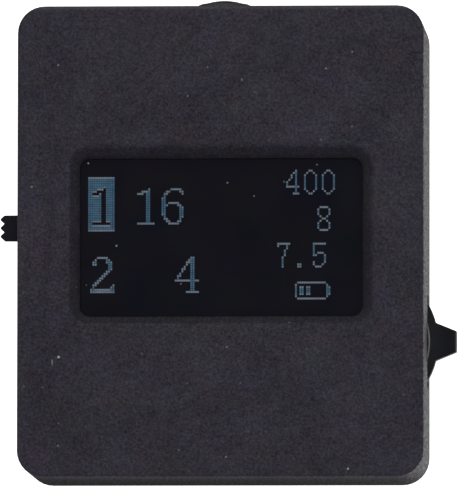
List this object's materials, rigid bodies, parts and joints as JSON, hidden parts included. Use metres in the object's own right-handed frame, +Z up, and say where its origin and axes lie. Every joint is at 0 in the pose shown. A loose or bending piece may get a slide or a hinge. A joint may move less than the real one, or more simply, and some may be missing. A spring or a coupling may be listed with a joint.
{
  "type": "shoe mount light meter",
  "caption": "Small box-shaped light meter with a lit display window, serrated slide switch, jog lever, front sensor dome and a foot for a camera accessory shoe.",
  "frame": {"origin": "centre of the shoe foot's underside", "axes": "+Z up out of the display face, +Y forward towards the subject (sensor side), +X to the right as the display is read (jog lever side)"},
  "size_m": [0.035, 0.0369, 0.0158],
  "materials": {
    "body_nylon": "fine grained dark grey moulding, matt",
    "black_plastic": "smooth black moulding, satin",
    "lens_plastic": "smoked, polished",
    "foot_metal": "fine brushed",
    "steel": "bright plated",
    "black_screw": "black oxide",
    "brass": "turned",
    "display_glass": "black, glossy",
    "foam": "black closed cell foam",
    "circuit_board": "green solder mask",
    "chip_black": "moulded epoxy",
    "ceramic_tan": "fired ceramic",
    "flex_film": "amber film",
    "battery_foil": "laminated foil pouch",
    "wire_red": "insulated wire",
    "wire_black": "insulated wire"
  },
  "bodies": {
    "housing": {"back_shell": "body_nylon", "battery_cell": "battery_foil", "battery_lead_black": "wire_black", "battery_lead_red": "wire_red", "battery_pad": "foam", "capacitor_1": "ceramic_tan", "capacitor_2": "ceramic_tan", "capacitor_3": "ceramic_tan", "case_screw_1": "black_screw", "case_screw_2": "black_screw", "case_screw_3": "black_screw", "case_screw_4": "black_screw", "charger_chip": "chip_black", "crystal": "steel", "display_carrier": "black_plastic", "display_cover_glass": "display_glass", "display_driver": "chip_black", "display_flex": "flex_film", "display_gasket": "foam", "display_substrate": "display_glass", "flex_connector": "black_plastic", "foot_nut_plate": "steel", "foot_screw_1": "steel", "foot_screw_2": "steel", "foot_screw_3": "steel", "foot_screw_4": "steel", "front_shell": "body_nylon", "inductor": "chip_black", "insert_1": "brass", "insert_2": "brass", "insert_3": "brass", "insert_4": "brass", "jog_housing": "black_plastic", "jog_leaf_spring": "steel", "light_sensor": "chip_black", "main_board": "circuit_board", "port_insulator": "black_plastic", "port_shell": "steel", "power_switch_base": "black_plastic", "power_switch_frame": "steel", "processor_chip": "chip_black", "regulator_chip": "chip_black", "sensor_board": "circuit_board", "sensor_header": "black_plastic", "sensor_lens": "lens_plastic", "shoe_foot": "foot_metal"},
    "power_slider": {"power_slider": "black_plastic"},
    "jog_carriage": {"jog_carriage": "black_plastic", "jog_pin_cap": "steel"},
    "jog_lever": {"jog_lever": "black_plastic"}
  },
  "joints": [
    {"name": "power_slide", "type": "slide", "parent": "housing", "child": "power_slider", "axis": [0, -1, 0], "range_m": [0, 0.002]},
    {"name": "jog_push", "type": "slide", "parent": "housing", "child": "jog_carriage", "axis": [-1, 0, 0], "range_m": [0, 0.0004], "stiffness_N_per_m": 500},
    {"name": "jog_turn", "type": "hinge", "parent": "jog_carriage", "child": "jog_lever", "pos_m": [0.0104, -0.00717, 0.00725], "axis": [0, 0, 1], "range_deg": [-12, 12], "stiffness_Nm_per_rad": 0.01}
  ]
}
